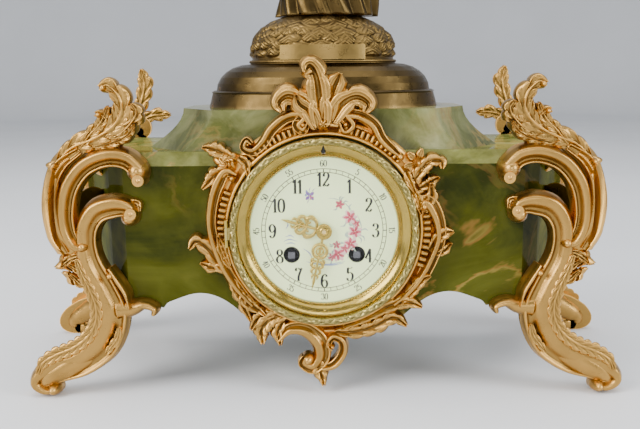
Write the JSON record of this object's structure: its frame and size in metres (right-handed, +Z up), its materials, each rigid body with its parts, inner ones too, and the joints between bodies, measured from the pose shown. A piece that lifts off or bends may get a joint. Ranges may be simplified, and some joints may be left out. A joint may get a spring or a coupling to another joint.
{
  "type": "mantel clock",
  "caption": "Onyx and gilt bronze mantel clock on four scroll legs, with a striking pendulum movement, hinged bezel and a standing bronze figure.",
  "frame": {"origin": "on the surface that the clock stands on, midway between its feet", "axes": "+X to the right seen from the front, +Y to the back, +Z up; the dial faces -Y"},
  "size_m": [0.429, 0.1676, 0.556],
  "materials": {
    "onyx": "polished green onyx with veins",
    "gilt": "satin gilt bronze",
    "polished_brass": "polished and lacquered",
    "movement_brass": "fine-grained",
    "patina": "dark brown patina",
    "steel": "polished",
    "enamel": "glossy painted enamel",
    "glass": "clear",
    "bell_metal": "nickelled"
  },
  "bodies": {
    "case": {"back_cock": "movement_brass", "back_plate": "movement_brass", "bell": "bell_metal", "bell_stand": "movement_brass", "cartouche": "gilt", "clicks": "steel", "dial_ring": "polished_brass", "enamel_dial": "enamel", "figure_body": "patina", "figure_bolt": "steel", "figure_ground": "patina", "figure_head": "patina", "front_plate": "movement_brass", "hinge_pins": "steel", "leg_front_left": "gilt", "leg_front_right": "gilt", "leg_rear_left": "gilt", "leg_rear_right": "gilt", "leg_screws": "steel", "minute_stud": "steel", "movement_straps": "movement_brass", "onyx_body": "onyx", "onyx_slab": "onyx", "onyx_top_block": "onyx", "pillar_nuts": "steel", "plate_pillars": "movement_brass", "rear_ring": "polished_brass", "regulating_block": "movement_brass", "socle": "patina", "socle_nuts": "steel", "socle_studs": "steel", "strap_screws": "steel", "title_plaque": "polished_brass"},
    "bezel": {"bezel": "gilt", "bezel_glass": "glass", "glass_retainer": "polished_brass"},
    "rear_door": {"rear_door": "polished_brass"},
    "centre_arbor": {"centre_arbor": "movement_brass", "cannon_pinion": "steel", "minute_hand": "polished_brass", "hand_collet": "polished_brass"},
    "hour_wheel": {"hour_wheel": "movement_brass", "hour_hand": "polished_brass"},
    "minute_wheel": {"minute_wheel": "movement_brass"},
    "second_arbor": {"second_arbor": "movement_brass"},
    "going_barrel": {"going_barrel": "movement_brass"},
    "going_winding": {"going_winding_arbor": "steel"},
    "third_arbor": {"third_arbor": "steel"},
    "escape_arbor": {"escape_arbor": "steel"},
    "pendulum": {"pendulum_rod": "steel", "pendulum_bob": "movement_brass"},
    "anchor": {"anchor": "steel"},
    "regulator": {"regulator_arbor": "steel"},
    "strike_barrel": {"strike_barrel": "movement_brass"},
    "strike_winding": {"strike_winding_arbor": "steel"},
    "strike_second": {"strike_second_arbor": "movement_brass"},
    "pin_wheel": {"pin_wheel_arbor": "movement_brass"},
    "warning_wheel": {"warning_arbor": "movement_brass"},
    "fly": {"fly_arbor": "steel"},
    "hammer": {"hammer": "steel"}
  },
  "joints": [
    {"name": "bezel_hinge", "type": "hinge", "parent": "case", "child": "bezel", "pos_m": [-0.0642, -0.074, 0.113], "axis": [0, 0, -1], "range_deg": [0, 110]},
    {"name": "rear_door_hinge", "type": "hinge", "parent": "case", "child": "rear_door", "pos_m": [0.0617, 0.0664, 0.113], "axis": [0, 0, -1], "range_deg": [0, 110]},
    {"name": "minute_hand_turn", "type": "hinge", "parent": "case", "child": "centre_arbor", "pos_m": [0, 0, 0.113], "axis": [0, 1, 0], "continuous": true},
    {"name": "hour_hand_turn", "type": "hinge", "parent": "case", "child": "hour_wheel", "pos_m": [0, 0, 0.113], "axis": [0, 1, 0], "continuous": true},
    {"name": "minute_wheel_turn", "type": "hinge", "parent": "case", "child": "minute_wheel", "pos_m": [0, 0, 0.1004], "axis": [0, 1, 0], "continuous": true},
    {"name": "second_arbor_turn", "type": "hinge", "parent": "case", "child": "second_arbor", "pos_m": [0.01741, 0, 0.11475], "axis": [0, 1, 0], "continuous": true},
    {"name": "going_barrel_turn", "type": "hinge", "parent": "case", "child": "going_barrel", "pos_m": [0.0218, 0, 0.0968], "axis": [0, 1, 0], "continuous": true},
    {"name": "third_arbor_turn", "type": "hinge", "parent": "case", "child": "third_arbor", "pos_m": [-0.00819, 0, 0.12719], "axis": [0, 1, 0], "continuous": true},
    {"name": "escape_wheel_turn", "type": "hinge", "parent": "case", "child": "escape_arbor", "pos_m": [0, 0, 0.13857], "axis": [0, 1, 0], "continuous": true},
    {"name": "going_winding", "type": "hinge", "parent": "case", "child": "going_winding", "pos_m": [0.0218, 0, 0.0968], "axis": [0, 1, 0], "continuous": true},
    {"name": "pendulum_swing", "type": "hinge", "parent": "case", "child": "pendulum", "pos_m": [0, 0, 0.14917], "axis": [0, 1, 0], "range_deg": [-3, 3]},
    {"name": "anchor_rock", "type": "hinge", "parent": "case", "child": "anchor", "pos_m": [0, 0, 0.14917], "axis": [0, 1, 0], "range_deg": [-3, 3]},
    {"name": "regulator_turn", "type": "hinge", "parent": "case", "child": "regulator", "pos_m": [0, 0, 0.166], "axis": [0, 1, 0], "range_deg": [-180, 180]},
    {"name": "strike_turn", "type": "hinge", "parent": "case", "child": "strike_second", "pos_m": [-0.01741, 0, 0.11475], "axis": [0, 1, 0], "continuous": true},
    {"name": "strike_barrel_turn", "type": "hinge", "parent": "case", "child": "strike_barrel", "pos_m": [-0.0218, 0, 0.0968], "axis": [0, 1, 0], "continuous": true},
    {"name": "pin_wheel_turn", "type": "hinge", "parent": "case", "child": "pin_wheel", "pos_m": [-0.02599, 0, 0.12701], "axis": [0, 1, 0], "continuous": true},
    {"name": "warning_wheel_turn", "type": "hinge", "parent": "case", "child": "warning_wheel", "pos_m": [-0.02032, 0, 0.13683], "axis": [0, 1, 0], "continuous": true},
    {"name": "fly_turn", "type": "hinge", "parent": "case", "child": "fly", "pos_m": [-0.01262, 0, 0.14222], "axis": [0, 1, 0], "continuous": true},
    {"name": "strike_winding", "type": "hinge", "parent": "case", "child": "strike_winding", "pos_m": [-0.0218, 0, 0.0968], "axis": [0, 1, 0], "continuous": true},
    {"name": "hammer_lift", "type": "hinge", "parent": "case", "child": "hammer", "pos_m": [-0.0383, 0, 0.115], "axis": [0, 1, 0], "range_deg": [0, 14], "stiffness_Nm_per_rad": 0.02, "springref_deg": -20.05}
  ],
  "couplings": [
    {"joint": "minute_hand_turn", "follows": "third_arbor_turn", "ratio": -0.083333},
    {"joint": "escape_wheel_turn", "follows": "third_arbor_turn", "ratio": -11.143},
    {"joint": "second_arbor_turn", "follows": "third_arbor_turn", "ratio": 0.013889},
    {"joint": "going_barrel_turn", "follows": "third_arbor_turn", "ratio": -0.0023148},
    {"joint": "minute_wheel_turn", "follows": "third_arbor_turn", "ratio": 0.027778},
    {"joint": "hour_hand_turn", "follows": "third_arbor_turn", "ratio": -0.0069444},
    {"joint": "anchor_rock", "follows": "pendulum_swing", "ratio": 1},
    {"joint": "fly_turn", "follows": "warning_wheel_turn", "ratio": -7.1429},
    {"joint": "pin_wheel_turn", "follows": "warning_wheel_turn", "ratio": -0.125},
    {"joint": "strike_turn", "follows": "warning_wheel_turn", "ratio": 0.016667},
    {"joint": "strike_barrel_turn", "follows": "warning_wheel_turn", "ratio": -0.0027778}
  ]
}
